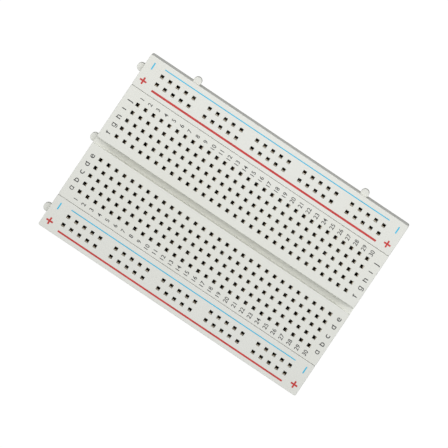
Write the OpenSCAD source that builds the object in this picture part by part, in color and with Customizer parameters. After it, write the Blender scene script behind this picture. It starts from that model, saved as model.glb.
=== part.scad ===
// Half-size solderless breadboard: a terminal block between two bus strips, each with its spring clips,
// adhesive foam pad and release liner. The housings hook together with edge lugs and lift apart along +Z.
// Origin: middle of the centre channel, on the surface that the board lies on. +X runs along the columns.

/* [Tie point grid] */
// Distance between neighbouring tie points
pitch = 2.54; // [2.5:0.01:2.6]
// Number of terminal columns
columns = 30; // [18:6:42]
// Contacts in each half of a column
rows = 5; // [3:1:6]
// Distance between the two rows of tie points beside the centre channel
channel_span = 7.62; // [7.4:0.01:8]
// Width of a square tie point hole
hole_w = 1.03; // [0.8:0.01:1.2]

/* [Housings] */
// Distance from the outer columns to the housing's ends
end_margin = 4.47; // [4.2:0.01:5]
// Distance from the outer row of tie points to the seam beside it
row_margin = 3.73; // [3.6:0.01:4.2]
// Width of a bus strip
bus_w = 9.62; // [9.4:0.02:10.4]
// Gap between two housings at a seam
seam_gap = 0.08; // [0.05:0.01:0.25]
// Height of a moulded housing
housing_h = 8.5; // [8.4:0.1:10]
// Thickness of the top skin that the tie points go through
skin = 1.3; // [1:0.1:1.4]
// Radius of a housing's upright corners
corner_r = 0.5; // [0.2:0.1:1]
// Width of the centre channel
channel_w = 1.9; // [1.8:0.1:3]
// Depth of the centre channel
channel_d = 2.6; // [2:0.1:3]
// Depth of the channel at its two ends, where its floor has risen
channel_end_d = 0.5; // [0.3:0.1:0.8]
// Length over which the channel's floor rises towards each end
channel_rise_l = 5.5; // [4:0.5:8]

/* [Edge lugs] */
// Radius of a lug's round end
lug_r = 1.15; // [0.8:0.05:1.2]
// Height of a lug
lug_h = 4; // [3:0.5:6]
// How far a lug on a long edge stands out
side_lug_out = 1.85; // [1.5:0.05:2]
// How far a lug on a short edge stands out
end_lug_out = 1.55; // [1.2:0.05:1.7]
// Distance of each side lug from the middle of the board, as a share of the board's length
side_lug_share = 0.325; // [0.25:0.005:0.38]
// Shift of both side lugs along the board
side_lug_shift = -0.25; // [-1:0.05:1]
// Shift of an end lug from the middle of its housing
end_lug_shift = 0.3; // [0:0.1:1]
// Depth of a side lug's top below the housing's top
side_lug_drop = 1.2; // [1.1:0.1:2]
// Depth of the tops of the two bus strips' end lugs below the housing's top
bus_end_lug_drop = 1.2; // [1.1:0.1:3]
// Depth of the top of the terminal block's end lug, whose socket lies under the end of the channel
terminal_end_lug_drop = 1.5; // [1.4:0.1:3]
// Clearance between a lug and its socket
lug_fit = 0.07; // [0.04:0.01:0.12]

/* [Spring clips] */
// Thickness of the clip strip
strip_t = 0.2; // [0.15:0.01:0.25]
// Outer width of a clip at its base
clip_w = 1.8; // [1.6:0.05:1.9]
// Height of a clip
clip_h = 7.0; // [6.4:0.1:7]
// Height at which the two fingers of a contact come closest
pinch_z = 5.8; // [4.5:0.1:6]
// Gap between the two fingers where they come closest
pinch_gap = 0.16; // [0.1:0.02:0.3]
// Gap between the two fingers at the clip's mouth
mouth_gap = 0.9; // [0.7:0.02:1.2]
// Length of one contact along the clip
contact_l = 1.86; // [1.6:0.02:2]
// Height of the clip's undivided base
clip_base_h = 1.6; // [1:0.1:2.5]
// Clearance between a clip and the walls of its chamber
clip_fit = 0.17; // [0.17:0.01:0.2]
// How far a clip stands off the middle of its chamber, towards one side wall
clip_shift = 0.14; // [0:0.01:0.16]

/* [Backing] */
// Thickness of the adhesive foam
foam_t = 0.9; // [0.6:0.1:1.2]
// Thickness of the release liner
liner_t = 0.12; // [0.1:0.01:0.2]
// Distance of the foam's edge inside the housing's edge
foam_inset = 0.25; // [0.1:0.05:0.5]
// Distance of the liner's edge inside the housing's edge
liner_inset = 0.15; // [0.1:0.05:0.5]

/* [Hidden] */
$fn = 48;
cut = 0.5; // how far a cutting shape runs past the face that it opens

group_size = 5; // tie points in one group of a bus rail
group_step = group_size + 1; // an empty place follows each group
bus_groups = floor(columns / group_step);
bus_slots = bus_groups * group_step - 1;
board_l = (columns - 1) * pitch + 2 * end_margin;
side_lug_x = side_lug_share * board_l;
seam_y = channel_span / 2 + (rows - 1) * pitch + row_margin;
terminal_w = 2 * seam_y - seam_gap;
bus_y = seam_y + seam_gap / 2 + bus_w / 2;
bus_row_y = [bus_y - pitch / 2, bus_y + pitch / 2];

housing_z = liner_t + foam_t;
top_z = housing_z + housing_h;
half_row_y = (channel_span + (rows - 1) * pitch) / 2; // middle of the five contacts in half a column
chamber_w = clip_w + 2 * clip_fit;
notch_r = lug_r + 2 * lug_fit; // the backing's notch around a lug

pocket_w = 3; // moulding pockets in the underside, below the channel
pocket_l = 11;
pocket_rib = 1.2; // wall between two pockets
pocket_skin = 1.2; // floor left between a pocket and the channel
pocket_pitch = pocket_l + pocket_rib;
pocket_count = floor((columns - 1) * pitch / pocket_pitch);

function column_x(i) = (i - (columns + 1) / 2) * pitch;
function clip_name(i) = str("clip_column_", i < 10 ? "0" : "", i);
function bus_x(slot) = (slot - (bus_slots - 1) / 2) * pitch;
function in_group(slot) = slot % group_step < group_size;
function pocket_x(k) = (k - (pocket_count - 1) / 2) * pocket_pitch;
// The right half of an outline followed by its mirror image.
function both_halves(right) = concat(right, [for (k = [len(right) - 1:-1:0]) [-right[k].x, right[k].y]]);

// ---- outlines -------------------------------------------------------------

// A rectangle centred on the origin, with round corners.
module round_plate(l, w, r) {
    square([l - 2 * r, w], center = true);
    square([l, w - 2 * r], center = true);
    for (x = [-1, 1], y = [-1, 1])
        translate([x * (l / 2 - r), y * (w / 2 - r)]) circle(r);
}

// Places its children on the two side lug positions of an edge at y.
module at_side_lugs(y) {
    for (side = [-1, 1]) translate([side_lug_x * side + side_lug_shift, y]) children();
}

// Outline of one housing's backing: a plate set in from the edge and notched where a lug has to pass.
module backing_outline(w, inset) {
    difference() {
        square([board_l - 2 * inset, w - 2 * inset], center = true);
        at_side_lugs(-w / 2 - seam_gap + side_lug_out - lug_r) circle(notch_r);
        at_side_lugs(-w / 2) square([2 * notch_r, 2 * (side_lug_out - lug_r)], center = true);
        translate([board_l / 2 + seam_gap - end_lug_out + lug_r, end_lug_shift]) circle(notch_r);
    }
}

// ---- housings -------------------------------------------------------------

// An upright lug with its top at the given depth.
module lug(drop) {
    translate([0, 0, top_z - drop - lug_h]) cylinder(r = lug_r, h = lug_h);
}

// Cutter for the socket of such a lug, open at the bottom so that the housing can be lowered over the lug.
module socket(drop) {
    translate([0, 0, housing_z - cut]) cylinder(r = lug_r + lug_fit, h = housing_h - drop + lug_fit + cut);
}

// Solid body of a housing of width w with its lugs, centred on y = 0.
module housing_body(w, end_drop) {
    translate([0, 0, housing_z]) linear_extrude(housing_h) round_plate(board_l, w, corner_r);
    at_side_lugs(w / 2 + side_lug_out - lug_r) lug(side_lug_drop);
    translate([-board_l / 2 - end_lug_out + lug_r, end_lug_shift]) lug(end_drop);
}

// Sockets for the lugs of the housing at -Y and of a second board at +X.
module sockets(w, end_drop) {
    at_side_lugs(-w / 2 - seam_gap + side_lug_out - lug_r) socket(side_lug_drop);
    translate([board_l / 2 + seam_gap - end_lug_out + lug_r, end_lug_shift]) socket(end_drop);
}

// One tie point hole through the top skin.
module tie_hole(x, y) {
    translate([x - hole_w / 2, y - hole_w / 2, top_z - skin - cut]) cube([hole_w, hole_w, skin + 2 * cut]);
}

// Chamber, open at the bottom, for a clip of the given size centred on (x, y).
module chamber(x, y, l, w) {
    translate([x - l / 2, y - w / 2, housing_z - cut]) cube([l, w, housing_h - skin + cut]);
}

// The centre channel, open at both ends, with its floor rising over channel_rise_l towards each of them.
module channel() {
    end_x = board_l / 2;
    flat_x = end_x - channel_rise_l;
    right = [[flat_x, -channel_d], [end_x, -channel_end_d],
        [end_x + cut, -channel_end_d], [end_x + cut, cut]];
    translate([0, 0, top_z]) rotate([90, 0, 0]) linear_extrude(channel_w, center = true)
        polygon(both_halves(right));
}

module terminal_block() color("#e8e8e1") difference() {
    housing_body(terminal_w, terminal_end_lug_drop);
    sockets(terminal_w, terminal_end_lug_drop);
    channel();
    for (i = [1:columns], half = [-1, 1]) {
        chamber(column_x(i), half * half_row_y, chamber_w, clip_length(rows) + 2 * clip_fit);
        for (row = [0:rows - 1]) tie_hole(column_x(i), half * (channel_span / 2 + row * pitch));
    }
    // moulding pockets under the channel, split by ribs
    for (k = [0:pocket_count - 1])
        translate([pocket_x(k) - pocket_l / 2, -pocket_w / 2, housing_z - cut])
            cube([pocket_l, pocket_w, housing_h - channel_d - pocket_skin + cut]);
}

module bus_block(y) color("#e8e8e1") translate([0, y, 0]) difference() {
    housing_body(bus_w, bus_end_lug_drop);
    sockets(bus_w, bus_end_lug_drop);
    for (row_y = [-pitch / 2, pitch / 2]) {
        chamber(0, row_y, clip_length(bus_slots) + 2 * clip_fit, chamber_w);
        for (slot = [0:bus_slots - 1]) if (in_group(slot)) tie_hole(bus_x(slot), row_y);
    }
}

// ---- spring clips ---------------------------------------------------------

function clip_length(contacts) = (contacts - 1) * pitch + contact_l;

// Cross section of a clip: a base with two walls that lean in to the pinch and out again to the mouth.
module clip_profile() {
    outside = [[clip_w / 2, 0], [clip_w / 2, clip_base_h],
        [pinch_gap / 2 + strip_t, pinch_z], [mouth_gap / 2 + strip_t, clip_h]];
    inside = [[mouth_gap / 2, clip_h], [pinch_gap / 2, pinch_z],
        [clip_w / 2 - strip_t, clip_base_h], [clip_w / 2 - strip_t, strip_t]];
    polygon(both_halves(concat(outside, inside)));
}

// A clip lying along Y with the given number of contact places, some of which may hold no fingers.
module spring_clip(contacts, has_fingers = function(k) true) {
    l = clip_length(contacts);
    slot_l = pitch - contact_l;
    first_y = -(contacts - 1) / 2 * pitch;
    translate([-clip_shift, 0, housing_z]) difference() {
        rotate([90, 0, 0]) linear_extrude(l, center = true) clip_profile();
        for (k = [0:contacts - 2])
            translate([-clip_w, first_y + (k + 0.5) * pitch - slot_l / 2, clip_base_h])
                cube([2 * clip_w, slot_l, clip_h]);
        for (k = [0:contacts - 1]) if (!has_fingers(k))
            translate([-clip_w, first_y + (k - 0.5) * pitch, clip_base_h])
                cube([2 * clip_w, pitch, clip_h]);
    }
}

// The two clips of one column: a to e below the channel and f to j above it.
module clip_column(i) color("#c9b98f")
    for (half = [-1, 1]) translate([column_x(i), half * half_row_y, 0]) spring_clip(rows);

// The single clip along one rail of a bus strip.
module bus_clip(y) color("#c9b98f")
    translate([0, y, 0]) rotate([0, 0, -90]) spring_clip(bus_slots, function(k) in_group(k));

// ---- backing --------------------------------------------------------------

module foam_pad(y, w) color("#f1efe6")
    translate([0, y, liner_t]) linear_extrude(foam_t) backing_outline(w, foam_inset);

module release_liner(y, w) color("#e6d9a8")
    translate([0, y, 0]) linear_extrude(liner_t) backing_outline(w, liner_inset);

// ---- the assembly ---------------------------------------------------------

terminal_block();
bus_block(bus_y);  // top_bus_block
bus_block(-bus_y);  // bottom_bus_block

for (i = [1:columns]) clip_column(i);

bus_clip(bus_row_y[1]);  // top_bus_clip_minus
bus_clip(bus_row_y[0]);  // top_bus_clip_plus
bus_clip(-bus_row_y[0]);  // bottom_bus_clip_minus
bus_clip(-bus_row_y[1]);  // bottom_bus_clip_plus

foam_pad(0, terminal_w);  // terminal_foam_pad
foam_pad(bus_y, bus_w);  // top_bus_foam_pad
foam_pad(-bus_y, bus_w);  // bottom_bus_foam_pad

release_liner(0, terminal_w);  // terminal_release_liner
release_liner(bus_y, bus_w);  // top_bus_release_liner
release_liner(-bus_y, bus_w);  // bottom_bus_release_liner
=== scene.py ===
import math
import random

import bmesh
import bpy
from mathutils import Matrix, Vector


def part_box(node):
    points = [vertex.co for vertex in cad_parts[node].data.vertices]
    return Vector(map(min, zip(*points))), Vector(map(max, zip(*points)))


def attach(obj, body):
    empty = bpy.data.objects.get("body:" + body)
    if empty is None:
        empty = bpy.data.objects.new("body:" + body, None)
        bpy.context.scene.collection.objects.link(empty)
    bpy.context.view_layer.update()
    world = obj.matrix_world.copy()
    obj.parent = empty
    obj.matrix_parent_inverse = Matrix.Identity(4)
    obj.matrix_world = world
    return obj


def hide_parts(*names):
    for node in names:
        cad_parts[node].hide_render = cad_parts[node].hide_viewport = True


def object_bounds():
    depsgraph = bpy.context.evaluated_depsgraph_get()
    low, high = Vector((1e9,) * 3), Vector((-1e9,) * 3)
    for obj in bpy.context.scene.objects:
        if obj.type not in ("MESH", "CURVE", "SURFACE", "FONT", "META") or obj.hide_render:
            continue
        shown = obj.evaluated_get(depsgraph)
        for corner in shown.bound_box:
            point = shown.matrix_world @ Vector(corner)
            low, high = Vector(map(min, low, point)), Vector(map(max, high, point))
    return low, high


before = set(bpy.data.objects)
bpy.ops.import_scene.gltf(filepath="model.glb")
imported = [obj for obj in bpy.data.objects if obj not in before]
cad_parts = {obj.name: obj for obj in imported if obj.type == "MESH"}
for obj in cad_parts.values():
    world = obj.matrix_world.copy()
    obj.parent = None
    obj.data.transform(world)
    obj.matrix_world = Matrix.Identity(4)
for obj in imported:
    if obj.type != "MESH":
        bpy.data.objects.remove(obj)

cad_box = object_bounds()

MM = 0.001

# ---- sizes that the CAD boxes don't give, in mm ----------------------------

PITCH = 2.54                       # between neighbouring tie points
COLUMNS = 30
ROWS = 5                           # in each half of the terminal block
GROUP_SIZE = 5                     # tie points in one group of a bus rail
CHANNEL_SPAN = 7.62                # between the two rows beside the channel
HOLE_W = 1.03
HOLE_EDGE_R = 0.09
SKIN = 1.3                         # between the clip chambers and the top
CORNER_R = 0.5
TOP_EDGE_R = 0.16
FOOT_BEVEL = 0.12
CHANNEL_W = 1.9
CHANNEL_D = 2.6
CHANNEL_END_D = 0.5                # at its two open ends, where the floor has risen
CHANNEL_RISE_L = 5.5
CHANNEL_EDGE_R = 0.18
CHANNEL_FOOT = 0.15                # bevel between its floor and its walls
LUG_R = 1.15
LUG_H = 4.0
LUG_EDGE_R = 0.15
SIDE_LUG_OUT = 1.85
SIDE_LUG_X = (-27.095, 26.595)
SIDE_LUG_DROP = 1.2                # from the housing's top to the lug's
END_LUG_OUT = 1.55
END_LUG_SHIFT = 0.3
END_LUG_DROP = {"terminal": 1.5, "top_bus": 1.2, "bottom_bus": 1.2}
LUG_FIT = 0.07
SEAM_GAP = 0.08
CHAMBER_W = 2.14
CONTACT_L = 1.86
CLIP_FIT = 0.17
POCKET_L = 11.0                    # moulding pockets in the underside, below the channel
POCKET_W = 3.0
POCKET_RIB = 1.2
POCKET_SKIN = 1.2
FOAM_INSET = 0.25
LINER_INSET = 0.15
INK_T = 0.015                      # how far the print stands above the plastic
INK_ROOT = 0.03                    # how far it reaches into it

BLOCKS = {                         # body name: CAD node of its housing
    "terminal": "terminal_block",
    "top_bus": "top_bus_block",
    "bottom_bus": "bottom_bus_block",
}


def column_x(i):
    return (i - (COLUMNS + 1) / 2) * PITCH


def clip_length(contacts):
    return (contacts - 1) * PITCH + CONTACT_L


ROW_Y = [CHANNEL_SPAN / 2 + k * PITCH for k in range(ROWS)]
HALF_ROW_Y = (ROW_Y[0] + ROW_Y[-1]) / 2
GROUP_STEP = GROUP_SIZE + 1        # an empty place follows each group
BUS_SLOTS = COLUMNS // GROUP_STEP * GROUP_STEP - 1
BUS_X = [(k - (BUS_SLOTS - 1) / 2) * PITCH for k in range(BUS_SLOTS) if k % GROUP_STEP < GROUP_SIZE]
CUT = 0.5                          # how far a cutter runs past the face that it opens


# ---- mesh tools ------------------------------------------------------------

def new_mesh(name, bm):
    """A linked object in metres from a bmesh drawn in mm."""
    bmesh.ops.recalc_face_normals(bm, faces=bm.faces)
    bm.transform(Matrix.Scale(MM, 4))
    mesh = bpy.data.meshes.new(name)
    bm.to_mesh(mesh)
    bm.free()
    piece = bpy.data.objects.new(name, mesh)
    bpy.context.scene.collection.objects.link(piece)
    return piece


def loft(bm, loops):
    """Closed solid through loops of equally many points, capped at both ends."""
    rings = [[bm.verts.new(p) for p in loop] for loop in loops]
    for low, high in zip(rings, rings[1:]):
        for k in range(len(low)):
            m = (k + 1) % len(low)
            bm.faces.new((low[k], low[m], high[m], high[k]))
    bm.faces.new(rings[0][::-1])
    bm.faces.new(rings[-1])


CORNERS = ((1, 1), (-1, 1), (-1, -1), (1, -1))


def plate(cx, cy, length, width, radius, z, steps=6):
    """Loop around a rectangle with round corners."""
    points = []
    for quarter, (sx, sy) in enumerate(CORNERS):
        for k in range(steps + 1):
            a = math.pi / 2 * (quarter + k / steps)
            points.append((cx + sx * (length / 2 - radius) + radius * math.cos(a),
                           cy + sy * (width / 2 - radius) + radius * math.sin(a), z))
    return points


def rectangle(cx, cy, length, width, z):
    return [(cx + sx * length / 2, cy + sy * width / 2, z) for sx, sy in CORNERS]


def ring(cx, cy, radius, z, steps=40):
    angles = [2 * math.pi * k / steps for k in range(steps)]
    return [(cx + radius * math.cos(a), cy + radius * math.sin(a), z) for a in angles]


def fillet(radius, steps):
    """(inset, drop) pairs from the wall to the top face of a round edge."""
    angles = [math.pi / 2 * k / steps for k in range(steps + 1)]
    return [(radius * (1 - math.cos(a)), radius * (1 - math.sin(a))) for a in angles]


def box(bm, x, y, z):
    """A box cutter between the pairs x, y and z."""
    centre = ((x[0] + x[1]) / 2, (y[0] + y[1]) / 2, x[1] - x[0], y[1] - y[0])
    loft(bm, [rectangle(*centre, z[0]), rectangle(*centre, z[1])])


def boolean(piece, other, operation):
    """Applies one boolean and removes the other object."""
    modifier = piece.modifiers.new("cut", "BOOLEAN")
    modifier.operation = operation
    modifier.object = other
    modifier.solver = "MANIFOLD"
    bake(piece)
    mesh = other.data
    bpy.data.objects.remove(other)
    bpy.data.meshes.remove(mesh)


def bake(piece):
    """Replaces the piece's mesh by what its modifiers make of it."""
    graph = bpy.context.evaluated_depsgraph_get()
    old = piece.data
    piece.data = bpy.data.meshes.new_from_object(piece.evaluated_get(graph), depsgraph=graph)
    piece.modifiers.clear()
    bpy.data.meshes.remove(old)
    piece.data.name = piece.name


def smooth(piece, degrees):
    """Smooth shading up to an angle, with the normals held by the large faces."""
    piece.data.polygons.foreach_set("use_smooth", [True] * len(piece.data.polygons))
    piece.data.set_sharp_from_angle(angle=math.radians(degrees))
    modifier = piece.modifiers.new("normals", "WEIGHTED_NORMAL")
    modifier.mode = "FACE_AREA"
    modifier.weight = 50
    modifier.keep_sharp = True
    bake(piece)


# ---- materials -------------------------------------------------------------

class Shader:
    """A small helper that builds one Principled material from procedural nodes, in object metres."""

    def __init__(self, name, **sockets):
        self.material = bpy.data.materials.new(name)
        self.material.use_nodes = True
        self.tree = self.material.node_tree
        self.main = self.tree.nodes["Principled BSDF"]
        for socket, value in sockets.items():
            self.main.inputs[socket.replace("_", " ")].default_value = value
        self.place = self.node("ShaderNodeTexCoord").outputs["Object"]

    def node(self, kind, **inputs):
        made = self.tree.nodes.new(kind)
        for socket, value in inputs.items():
            self.feed(made.inputs[socket.replace("_", " ")], value)
        return made

    def feed(self, socket, value):
        if isinstance(value, bpy.types.NodeSocket):
            self.tree.links.new(value, socket)
        else:
            socket.default_value = value

    def stretched(self, x, y, z):
        """The object's coordinates, scaled along each axis."""
        made = self.node("ShaderNodeMapping", Vector=self.place)
        made.inputs["Scale"].default_value = (x, y, z)
        return made.outputs["Vector"]

    def noise(self, scale, detail=3.0, roughness=0.55, vector=None, distortion=0.0):
        made = self.node("ShaderNodeTexNoise", Vector=vector or self.place, Scale=scale, Detail=detail,
                         Roughness=roughness, Distortion=distortion)
        return made.outputs["Fac"]

    def cells(self, scale):
        return self.node("ShaderNodeTexVoronoi", Vector=self.place, Scale=scale).outputs["Distance"]

    def span(self, value, low, high, out_low, out_high):
        """Maps low..high of a value to out_low..out_high, clamped."""
        made = self.node("ShaderNodeMapRange", Value=value, From_Min=low, From_Max=high,
                         To_Min=out_low, To_Max=out_high)
        return made.outputs["Result"]

    def blend(self, factor, first, second):
        """Mixes two colours."""
        made = self.node("ShaderNodeMix")
        made.data_type = "RGBA"
        self.feed(made.inputs[0], factor)
        self.feed(made.inputs[6], (*first, 1.0) if isinstance(first, tuple) else first)
        self.feed(made.inputs[7], (*second, 1.0) if isinstance(second, tuple) else second)
        return made.outputs[2]

    def math(self, operation, first, second):
        made = self.node("ShaderNodeMath")
        made.operation = operation
        self.feed(made.inputs[0], first)
        self.feed(made.inputs[1], second)
        return made.outputs["Value"]

    def colour(self, value):
        self.feed(self.main.inputs["Base Color"], value)

    def rough(self, value):
        self.feed(self.main.inputs["Roughness"], value)

    def bump(self, height, depth, strength=1.0):
        """Bump of the given depth in metres for a height from 0 to 1."""
        made = self.node("ShaderNodeBump", Height=height, Distance=depth, Strength=strength)
        self.tree.links.new(made.outputs["Normal"], self.main.inputs["Normal"])


def plastic(name, tint):
    """Moulded off-white ABS with a fine spark-eroded grain, faint flow marks and slightly uneven gloss."""
    s = Shader(name, IOR=1.53)
    cloud = s.noise(55, 2, 0.5)
    grain = s.noise(5200, 2, 0.6)
    flow = s.noise(1.0, 4, 0.6, s.stretched(90, 420, 420), 1.2)
    pale = tuple(min(1.0, c * 1.012) for c in tint)
    warm = (tint[0] * 0.988, tint[1] * 0.984, tint[2] * 0.968)
    first = s.blend(s.span(cloud, 0.35, 0.65, 0.0, 1.0), warm, pale)
    mottle = s.blend(s.span(flow, 0.3, 0.7, 0.0, 0.35), first, tint)
    s.colour(s.blend(s.span(grain, 0.35, 0.65, 0.0, 0.06), mottle, (0.62, 0.62, 0.57)))
    s.rough(s.math("ADD", s.span(cloud, 0.3, 0.7, 0.42, 0.5), s.span(grain, 0.3, 0.7, -0.04, 0.05)))
    s.bump(s.math("ADD", grain, s.math("MULTIPLY", flow, 0.5)), 0.012 * MM, 0.6)
    return s.material


def contact_metal():
    """Nickel-plated phosphor bronze strip: drawn lines along the strip, tarnish in soft patches."""
    s = Shader("contact_metal", Metallic=1.0)
    patches = s.noise(260, 4, 0.6)
    drawn = s.noise(1.0, 3, 0.6, s.stretched(1500, 1500, 14000))
    bright = s.blend(s.span(patches, 0.35, 0.7, 0.0, 1.0), (0.56, 0.52, 0.44), (0.46, 0.38, 0.28))
    s.colour(s.blend(s.span(drawn, 0.3, 0.7, 0.0, 0.3), bright, (0.34, 0.29, 0.22)))
    s.rough(s.math("ADD", s.span(patches, 0.3, 0.7, 0.24, 0.4), s.span(drawn, 0.3, 0.7, -0.05, 0.08)))
    s.bump(drawn, 0.006 * MM, 0.5)
    return s.material


def foam_material():
    """White closed-cell polyethylene foam tape with cut cells on its edge."""
    s = Shader("adhesive_foam", IOR=1.45, Roughness=0.9)
    cell = s.cells(4200)
    fine = s.noise(9000, 2)
    wall = s.blend(s.span(fine, 0.3, 0.7, 0.0, 1.0), (0.66, 0.64, 0.57), (0.74, 0.72, 0.65))
    s.colour(s.blend(s.span(cell, 0.0, 0.75, 0.0, 1.0), (0.86, 0.84, 0.77), wall))
    s.rough(s.span(fine, 0.3, 0.7, 0.82, 0.98))
    s.bump(cell, 0.06 * MM, 0.8)
    return s.material


def liner_material():
    """Silicone-coated release paper: pale yellow, with fibres and a low sheen."""
    s = Shader("release_liner", IOR=1.42, Coat_Weight=0.25, Coat_Roughness=0.35)
    fibres = s.noise(1.0, 5, 0.7, s.stretched(900, 2600, 2600), 2.0)
    fibres_across = s.noise(1.0, 5, 0.7, s.stretched(2600, 900, 2600), 2.0)
    web = s.math("MAXIMUM", fibres, fibres_across)
    s.colour(s.blend(s.span(web, 0.45, 0.75, 0.0, 1.0), (0.80, 0.70, 0.44), (0.88, 0.81, 0.58)))
    s.rough(s.span(web, 0.4, 0.8, 0.5, 0.68))
    s.bump(web, 0.01 * MM, 0.5)
    return s.material


def ink(name, colour, worn):
    """Pad-printed ink: a little uneven in depth, thin at small specks, low gloss."""
    s = Shader(name, IOR=1.48)
    coverage = s.noise(3800, 3, 0.65)
    patches = s.noise(320, 3, 0.6)
    deep = tuple(c * 0.78 for c in colour)
    body = s.blend(s.span(patches, 0.3, 0.7, 0.0, 1.0), deep, colour)
    s.colour(s.blend(s.span(coverage, 0.5, 0.78, 0.0, worn), body, (0.74, 0.74, 0.70)))
    s.rough(s.span(coverage, 0.3, 0.7, 0.42, 0.6))
    s.bump(coverage, 0.005 * MM, 0.5)
    return s.material


def floor_material():
    """Paper sweep, grey for the light that it throws back, while the camera sees it burnt out to white."""
    s = Shader("studio_floor", Roughness=0.9)
    tree = s.tree
    s.colour(s.blend(s.noise(40, 3), (0.24, 0.24, 0.24), (0.26, 0.26, 0.26)))
    matt = s.node("ShaderNodeBsdfDiffuse", Color=(0.06, 0.06, 0.06, 1.0))
    glow = s.node("ShaderNodeEmission", Color=(1.0, 1.0, 1.0, 1.0), Strength=FLOOR_GLOW)
    seen = s.node("ShaderNodeAddShader")
    tree.links.new(matt.outputs[0], seen.inputs[0])
    tree.links.new(glow.outputs[0], seen.inputs[1])
    mix = s.node("ShaderNodeMixShader", Fac=s.node("ShaderNodeLightPath").outputs["Is Camera Ray"])
    tree.links.new(s.main.outputs[0], mix.inputs[1])
    tree.links.new(seen.outputs[0], mix.inputs[2])
    tree.links.new(mix.outputs[0], tree.nodes["Material Output"].inputs["Surface"])
    return s.material


ABS = plastic("abs_off_white", (0.795, 0.80, 0.748))
ABS_BUS = plastic("abs_off_white_bus", (0.79, 0.795, 0.75))
METAL = contact_metal()
FOAM = foam_material()
LINER = liner_material()
RED_INK = ink("red_ink", (0.66, 0.032, 0.03), 0.12)
BLUE_INK = ink("blue_ink", (0.025, 0.59, 0.88), 0.12)
DARK_INK = ink("dark_ink", (0.045, 0.045, 0.045), 0.3)


def dress(piece, material):
    piece.data.materials.clear()
    piece.data.materials.append(material)


# ---- housings --------------------------------------------------------------

def block_place(node):
    """A housing's length, width, middle in y, foot and top in mm, without its lugs."""
    low, high = (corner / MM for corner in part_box(node))
    width = high.y - SIDE_LUG_OUT - low.y
    return 2 * high.x, width, low.y + width / 2, low.z, high.z - INK_T


def add_lug(piece, x, y, top):
    """Joins one upright lug with round ends to a housing."""
    bm = bmesh.new()
    edge = fillet(LUG_EDGE_R, 4)
    loft(bm, [ring(x, y, LUG_R - inset, top - LUG_H + drop) for inset, drop in reversed(edge)]
         + [ring(x, y, LUG_R - inset, top - drop) for inset, drop in edge])
    boolean(piece, new_mesh("lug", bm), "UNION")


def tie_hole(bm, x, y, top):
    """Cutter for one square hole with a round upper edge."""
    widths = [(HOLE_W, top - SKIN - CUT)]
    widths += [(HOLE_W + 2 * inset, top - drop) for inset, drop in fillet(HOLE_EDGE_R, 3)]
    widths.append((HOLE_W + 2 * HOLE_EDGE_R, top + CUT))
    loft(bm, [rectangle(x, y, w, w, z) for w, z in widths])


def channel(bm, length, top):
    """Cutter for the centre channel: a U with round upper edges, whose floor rises to both open ends."""
    wall = CHANNEL_W / 2
    upper = [(wall + inset, top - drop) for inset, drop in fillet(CHANNEL_EDGE_R, 6)]
    upper.append((wall + CHANNEL_EDGE_R, top + CUT))
    loops = []
    end = length / 2
    flat = end - CHANNEL_RISE_L
    stations = ((-end - CUT, CHANNEL_END_D), (-end, CHANNEL_END_D), (-flat, CHANNEL_D),
                (flat, CHANNEL_D), (end, CHANNEL_END_D), (end + CUT, CHANNEL_END_D))
    for x, depth in stations:
        side = [(wall - CHANNEL_FOOT, top - depth), (wall, top - depth + CHANNEL_FOOT)] + upper
        loops.append([(x, y, z) for y, z in side + [(-y, z) for y, z in reversed(side)]])
    loft(bm, loops)


def shell(name, length, width, middle, foot, top):
    """The solid block of a housing with its bevelled foot and round edges."""
    levels = [(FOOT_BEVEL, foot), (0.0, foot + FOOT_BEVEL)]
    levels += [(inset, top - drop) for inset, drop in fillet(TOP_EDGE_R, 5)]
    outlines = [(length - 2 * inset, width - 2 * inset, CORNER_R - inset, z) for inset, z in levels]
    bm = bmesh.new()
    loft(bm, [plate(0, middle, *outline) for outline in outlines])
    return new_mesh(name, bm)


def add_lugs(piece, body, length, width, middle, cad_top):
    """The two side lugs and the end lug of a housing."""
    for x in SIDE_LUG_X:
        add_lug(piece, x, middle + width / 2 + SIDE_LUG_OUT - LUG_R, cad_top - SIDE_LUG_DROP)
    end_x = -length / 2 - END_LUG_OUT + LUG_R
    add_lug(piece, end_x, middle + END_LUG_SHIFT, cad_top - END_LUG_DROP[body])


def cut_sockets(bm, body, length, width, middle, foot, cad_top):
    """Cutters for the sockets that take the neighbours' lugs."""
    side_y = middle - width / 2 - SEAM_GAP + SIDE_LUG_OUT - LUG_R
    end_x = length / 2 + SEAM_GAP - END_LUG_OUT + LUG_R
    places = [(x, side_y, SIDE_LUG_DROP) for x in SIDE_LUG_X]
    places.append((end_x, middle + END_LUG_SHIFT, END_LUG_DROP[body]))
    radius = LUG_R + LUG_FIT
    for x, y, drop in places:
        loft(bm, [ring(x, y, radius, foot - CUT), ring(x, y, radius, cad_top - drop + LUG_FIT)])


def cut_chambers(bm, body, middle, foot, cad_top):
    """Cutters for the clip chambers and, under the channel, the moulding pockets."""
    depth = (foot - CUT, cad_top - SKIN)
    half_w = CHAMBER_W / 2
    if body != "terminal":
        half_l = clip_length(BUS_SLOTS) / 2 + CLIP_FIT
        for y in (middle - PITCH / 2, middle + PITCH / 2):
            box(bm, (-half_l, half_l), (y - half_w, y + half_w), depth)
        return
    half_l = clip_length(ROWS) / 2 + CLIP_FIT
    for x in map(column_x, range(1, COLUMNS + 1)):
        for y in (-HALF_ROW_Y, HALF_ROW_Y):
            box(bm, (x - half_w, x + half_w), (y - half_l, y + half_l), depth)
    pocket_pitch = POCKET_L + POCKET_RIB
    count = int((COLUMNS - 1) * PITCH / pocket_pitch)
    for k in range(count):
        x = (k - (count - 1) / 2) * pocket_pitch
        box(bm, (x - POCKET_L / 2, x + POCKET_L / 2), (-POCKET_W / 2, POCKET_W / 2),
            (foot - CUT, cad_top - CHANNEL_D - POCKET_SKIN))


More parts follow.
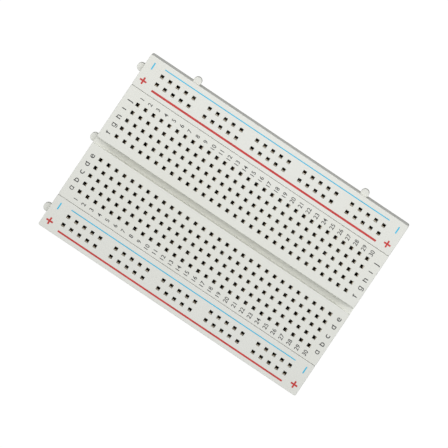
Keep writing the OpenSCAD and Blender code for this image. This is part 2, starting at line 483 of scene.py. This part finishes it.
def tie_places(body, middle):
    """The (x, y) of every hole in a housing."""
    if body == "terminal":
        return [(column_x(c), side * y) for c in range(1, COLUMNS + 1) for y in ROW_Y for side in (-1, 1)]
    return [(x, middle + side * PITCH / 2) for x in BUS_X for side in (-1, 1)]


def housing(body):
    """One moulded housing with lugs, sockets, clip chambers and tie point holes."""
    node = BLOCKS[body]
    length, width, middle, foot, top = block_place(node)
    cad_top = top + INK_T
    piece = shell(node + "_moulding", length, width, middle, foot, top)
    add_lugs(piece, body, length, width, middle, cad_top)

    from_below = bmesh.new()
    cut_sockets(from_below, body, length, width, middle, foot, cad_top)
    cut_chambers(from_below, body, middle, foot, cad_top)
    boolean(piece, new_mesh("from_below", from_below), "DIFFERENCE")

    from_above = bmesh.new()
    if body == "terminal":
        channel(from_above, length, top)
    for x, y in tie_places(body, middle):
        tie_hole(from_above, x, y, top)
    boolean(piece, new_mesh("from_above", from_above), "DIFFERENCE")

    smooth(piece, 40)
    dress(piece, ABS if body == "terminal" else ABS_BUS)
    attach(piece, body)
    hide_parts(node)


for body_name in BLOCKS:
    housing(body_name)


# ---- print -----------------------------------------------------------------

def glyphs(text, bolder):
    """(vertices, faces) of a text in font units, on its baseline and centred, with thickened strokes."""
    curve = bpy.data.curves.new("glyphs", "FONT")
    curve.body = text
    curve.align_x = "CENTER"
    curve.extrude = 0.5
    curve.resolution_u = 4
    curve.offset = bolder
    holder = bpy.data.objects.new("glyphs", curve)
    bpy.context.scene.collection.objects.link(holder)
    graph = bpy.context.evaluated_depsgraph_get()
    mesh = bpy.data.meshes.new_from_object(holder.evaluated_get(graph), depsgraph=graph)
    made = [v.co.copy() for v in mesh.vertices], [tuple(p.vertices) for p in mesh.polygons]
    bpy.data.objects.remove(holder)
    bpy.data.curves.remove(curve)
    bpy.data.meshes.remove(mesh)
    return made


def print_text(bm, text, baseline, y, top, scale, squeeze, bolder, ascent=None):
    """Prints text that reads along +Y, its feet towards +X on the baseline, its middle at y.

    Scale is in mm per font unit, and squeeze narrows the text. What rises above ascent is shortened.
    """
    vertices, faces = glyphs(text, bolder)
    middle = (max(v.x for v in vertices) + min(v.x for v in vertices)) / 2
    corners = []
    for v in vertices:
        high = v.y if ascent is None or v.y < ascent else ascent + (v.y - ascent) * ASCENDER_SHARE
        corners.append(bm.verts.new((baseline - high * scale, y + (v.x - middle) * scale * squeeze,
                                     top + (INK_T if v.z > 0 else -INK_ROOT))))
    for face in faces:
        bm.faces.new([corners[k] for k in face])


def bar(bm, x, y, length, width, top):
    """One straight printed stroke, length along X and width along Y, with slightly round corners."""
    r = min(length, width) * 0.2
    loft(bm, [plate(x, y, length, width, r, z, 3) for z in (top - INK_ROOT, top + INK_T)])


def print_piece(name, bm, body, material):
    piece = new_mesh(name, bm)
    dress(piece, material)
    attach(piece, body)


FIGURE = 0.691                     # height of a figure in font units
SMALL_X = 0.449                    # and of a small x
ROUND_GLYPHS = {"a": "\u0251", "g": "\u0261"}
ROUND_X = 0.55                     # height of these two, which are drawn larger
ASCENDER_SHARE = 0.3               # what is left of a letter's ascender
NUMBER_H = 1.2
NUMBER_SQUEEZE = 0.94
NUMBER_BOLDER = 0.0105             # in font units
NUMBER_SHIFT = 0.21                # the figures' middle stands this far past the column
NUMBER_Y = (15.9, -16.2)
LETTER_H = 1.15                    # height of a small x
LETTER_BOLDER = 0.007
LETTERS = (                        # baseline x, letters, shift along y from their row
    (-38.65, "abcdefghij", -0.28),
    (40.26, "abc", -0.3),
    (40.26, "defghij", 0.05),
)
LINE_X = (-35.9, 36.1)
SIGN = 2.05                        # length of a sign's strokes
PLUS_W = 0.48
MINUS_W = 0.36
BUS_PRINT = {                      # lines are (y, width) and signs (x, y)
    "top_bus": {
        "blue_line": (25.85, 0.28), "minus": ((-39.1, 24.9), (39.3, 24.8)),
        "red_line": (19.2, 0.58), "plus": ((-39.2, 20.2), (39.1, 20.2)),
    },
    "bottom_bus": {
        "blue_line": (-19.3, 0.28), "minus": ((-39.2, -20.2), (39.6, -20.1)),
        "red_line": (-25.95, 0.48), "plus": ((-39.2, -24.9), (39.35, -24.9)),
    },
}


def print_numbers(top):
    bm = bmesh.new()
    for column in range(1, COLUMNS + 1):
        baseline = column_x(column) + NUMBER_SHIFT + NUMBER_H / 2
        for y in NUMBER_Y:
            print_text(bm, str(column), baseline, y, top, NUMBER_H / FIGURE, NUMBER_SQUEEZE, NUMBER_BOLDER)
    print_piece("terminal_numbers", bm, "terminal", DARK_INK)


def print_letters(top):
    bm = bmesh.new()
    row_places = dict(zip("abcdefghij", [-y for y in reversed(ROW_Y)] + ROW_Y))
    for baseline, letters, shift in LETTERS:
        for letter in letters:
            glyph = ROUND_GLYPHS.get(letter, letter)
            small_x = ROUND_X if letter in ROUND_GLYPHS else SMALL_X
            print_text(bm, glyph, baseline, row_places[letter] + shift, top,
                       LETTER_H / small_x, 1.0, LETTER_BOLDER, small_x)
    print_piece("terminal_letters", bm, "terminal", DARK_INK)


def rail_line(bm, line, top):
    y, width = line
    bar(bm, sum(LINE_X) / 2, y, LINE_X[1] - LINE_X[0], width, top)


def print_rails(body):
    """The blue line with its minus signs and the red line with its plus signs."""
    top = block_place(BLOCKS[body])[4]
    marks = BUS_PRINT[body]

    bm = bmesh.new()
    rail_line(bm, marks["blue_line"], top)
    for x, y in marks["minus"]:
        bar(bm, x, y, MINUS_W, SIGN, top)
    print_piece(body + "_blue_print", bm, body, BLUE_INK)

    bm = bmesh.new()
    rail_line(bm, marks["red_line"], top)
    arm = (SIGN - PLUS_W) / 2
    for x, y in marks["plus"]:
        bar(bm, x, y, PLUS_W, SIGN, top)
        for side in (-1, 1):
            bar(bm, x + side * (PLUS_W + arm) / 2, y, arm, PLUS_W, top)
    print_piece(body + "_red_print", bm, body, RED_INK)


terminal_top = block_place("terminal_block")[4]
print_numbers(terminal_top)
print_letters(terminal_top)
for body_name in BUS_PRINT:
    print_rails(body_name)


# ---- backing ---------------------------------------------------------------

NOTCH_STEPS = 10


def backing_corners(length, width, middle, inset):
    """Corners around a pad in order, with round notches where the neighbours' lugs pass."""
    x1, y0, y1 = length / 2 - inset, middle - width / 2 + inset, middle + width / 2 - inset
    r = LUG_R + 2 * LUG_FIT
    lug_y = middle - width / 2 - SEAM_GAP + SIDE_LUG_OUT - LUG_R
    lug_x = length / 2 + SEAM_GAP - END_LUG_OUT + LUG_R
    shares = [k / NOTCH_STEPS for k in range(NOTCH_STEPS + 1)]
    corners = [(-x1, y0)]
    for x in SIDE_LUG_X:
        corners.append((x - r, y0))
        corners += [(x - r * math.cos(math.pi * s), lug_y + r * math.sin(math.pi * s)) for s in shares]
        corners.append((x + r, y0))
    corners.append((x1, y0))
    open_half = math.acos(min(1.0, (lug_x - x1) / r))
    for a in (math.pi - open_half + 2 * open_half * s for s in shares):
        corners.append((lug_x + r * math.cos(a), middle + END_LUG_SHIFT - r * math.sin(a)))
    return corners + [(x1, y1), (-x1, y1)]


def walk(corners, step):
    """Points about step apart along the closed line through the corners."""
    points = []
    for (ax, ay), (bx, by) in zip(corners, corners[1:] + corners[:1]):
        parts = max(1, round(math.hypot(bx - ax, by - ay) / step))
        points += [(ax + (bx - ax) * k / parts, ay + (by - ay) * k / parts) for k in range(parts)]
    return points


def backing(body, node, inset, material, step, levels, wander):
    """A die-cut layer of one housing, riding on its body.

    Levels are (share of the thickness, bulge of the edge) and wander is the cut edge's unevenness, in mm.
    """
    length, width, middle = block_place(BLOCKS[body])[:3]
    low, high = (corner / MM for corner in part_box(node))
    points = walk(backing_corners(length, width, middle, inset), step)
    dice = random.Random(node)
    bm = bmesh.new()
    loops = []
    for share, bulge in levels:
        loop = []
        for k, (x, y) in enumerate(points):
            (ax, ay), (bx, by) = points[k - 1], points[(k + 1) % len(points)]
            out = Vector((by - ay, ax - bx)).normalized()
            shift = min(0.0, bulge - EDGE_BACK + dice.uniform(-wander, wander))
            loop.append((x + out.x * shift, y + out.y * shift, low.z + (high.z - low.z) * share))
        loops.append(loop)
    loft(bm, loops)
    piece = new_mesh(node + "_cut", bm)
    smooth(piece, 50)
    dress(piece, material)
    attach(piece, body)
    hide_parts(node)
    return piece


EDGE_BACK = 0.04                   # how far a cut edge stays inside its outline, before its bulge
FOAM_LEVELS = ((0.0, 0.0), (0.12, 0.02), (0.35, -0.02), (0.6, -0.03), (0.85, 0.0), (1.0, 0.02))
LINER_LEVELS = ((0.0, 0.03), (1.0, 0.04))

for body_name, block in BLOCKS.items():
    stem = block.replace("_block", "")
    pad = backing(body_name, stem + "_foam_pad", FOAM_INSET, FOAM, 0.35, FOAM_LEVELS, 0.025)
    backing(body_name, stem + "_release_liner", LINER_INSET, LINER, 0.8, LINER_LEVELS, 0.004)


# ---- carried-over clips ----------------------------------------------------

for name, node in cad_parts.items():
    if "clip" in name:
        for holder in node.material_slots:
            holder.material = METAL


# ---- floor, light and camera -----------------------------------------------

FLOOR_R = 2600.0
FLOOR_DROP = 0.01                  # under the liners, so that the faces don't coincide
FLOOR_GLOW = 0.98                  # how bright the camera sees the floor
KEY_WATTS = 0.298
FRONT_WATTS = 0.27
LEFT_WATTS = 0.14
SKY = 0.425                        # strength of the sky's light, which the camera sees as plain white

bm = bmesh.new()
bmesh.ops.create_circle(bm, cap_ends=True, segments=96, radius=FLOOR_R)
floor = new_mesh("floor", bm)
floor.location.z = -FLOOR_DROP * MM
dress(floor, floor_material())


def softbox(name, place, aim, size, watts, colour=(1.0, 1.0, 1.0)):
    """A rectangular area light that the camera doesn't see, with place, aim and size in metres."""
    data = bpy.data.lights.new(name, "AREA")
    data.shape = "RECTANGLE"
    data.size, data.size_y = size
    data.energy = watts
    data.color = colour
    lamp = bpy.data.objects.new(name, data)
    lamp.location = place
    lamp.rotation_euler = (Vector(aim) - Vector(place)).to_track_quat("-Z", "Y").to_euler()
    lamp.visible_camera = False
    bpy.context.scene.collection.objects.link(lamp)


softbox("key_softbox", (0.0, 0.08, 0.18), (0.0, 0.0, 0.0), (0.3, 0.24), KEY_WATTS, (1.0, 0.995, 0.985))
softbox("front_fill", (0.14, -0.32, 0.07), (0.0, 0.0, 0.005), (0.36, 0.14), FRONT_WATTS)
softbox("left_fill", (-0.33, 0.06, 0.11), (0.0, 0.0, 0.005), (0.3, 0.16), LEFT_WATTS)


def studio_sky():
    """Soft, even light from all round."""
    world = bpy.data.worlds.new("studio")
    bpy.context.scene.world = world
    world.use_nodes = True
    sky = world.node_tree
    dim = sky.nodes["Background"]
    dim.inputs["Color"].default_value = (0.97, 0.985, 1.0, 1.0)
    dim.inputs["Strength"].default_value = SKY
    white = sky.nodes.new("ShaderNodeBackground")
    white.inputs["Color"].default_value = (1.0, 1.0, 1.0, 1.0)
    either = sky.nodes.new("ShaderNodeMixShader")
    sky.links.new(sky.nodes.new("ShaderNodeLightPath").outputs["Is Camera Ray"], either.inputs["Fac"])
    sky.links.new(dim.outputs[0], either.inputs[1])
    sky.links.new(white.outputs[0], either.inputs[2])
    sky.links.new(either.outputs[0], sky.nodes["World Output"].inputs["Surface"])


studio_sky()

LENS, SENSOR = 800.0, 36.0
VIEW_WIDTH = 119.5                 # mm across the picture at the top face
TILT = math.radians(5.0)           # towards +Y from straight above
SPIN = math.radians(33.83)         # how far +X turns down to the right
TARGET = (-0.035, 0.373)           # mm, on the top face


def place_camera():
    """A long lens above the board, tilted and turned."""
    along = Vector((1, 0, 0))
    across = Vector((0, math.cos(TILT), -math.sin(TILT)))
    back = Vector((0, math.sin(TILT), math.cos(TILT)))
    right = math.cos(SPIN) * along + math.sin(SPIN) * across
    up = -math.sin(SPIN) * along + math.cos(SPIN) * across
    distance = VIEW_WIDTH / SENSOR * LENS * MM
    data = bpy.data.cameras.new("camera")
    data.lens, data.sensor_width = LENS, SENSOR
    data.clip_start, data.clip_end = 0.5, 10.0
    camera = bpy.data.objects.new("camera", data)
    spot = Vector((TARGET[0] * MM, TARGET[1] * MM, cad_box[1][2])) + back * distance
    camera.matrix_world = Matrix.Translation(spot) @ Matrix((right, up, back)).transposed().to_4x4()
    bpy.context.scene.collection.objects.link(camera)
    bpy.context.scene.camera = camera


place_camera()
bpy.context.scene.view_settings.view_transform = "Standard"
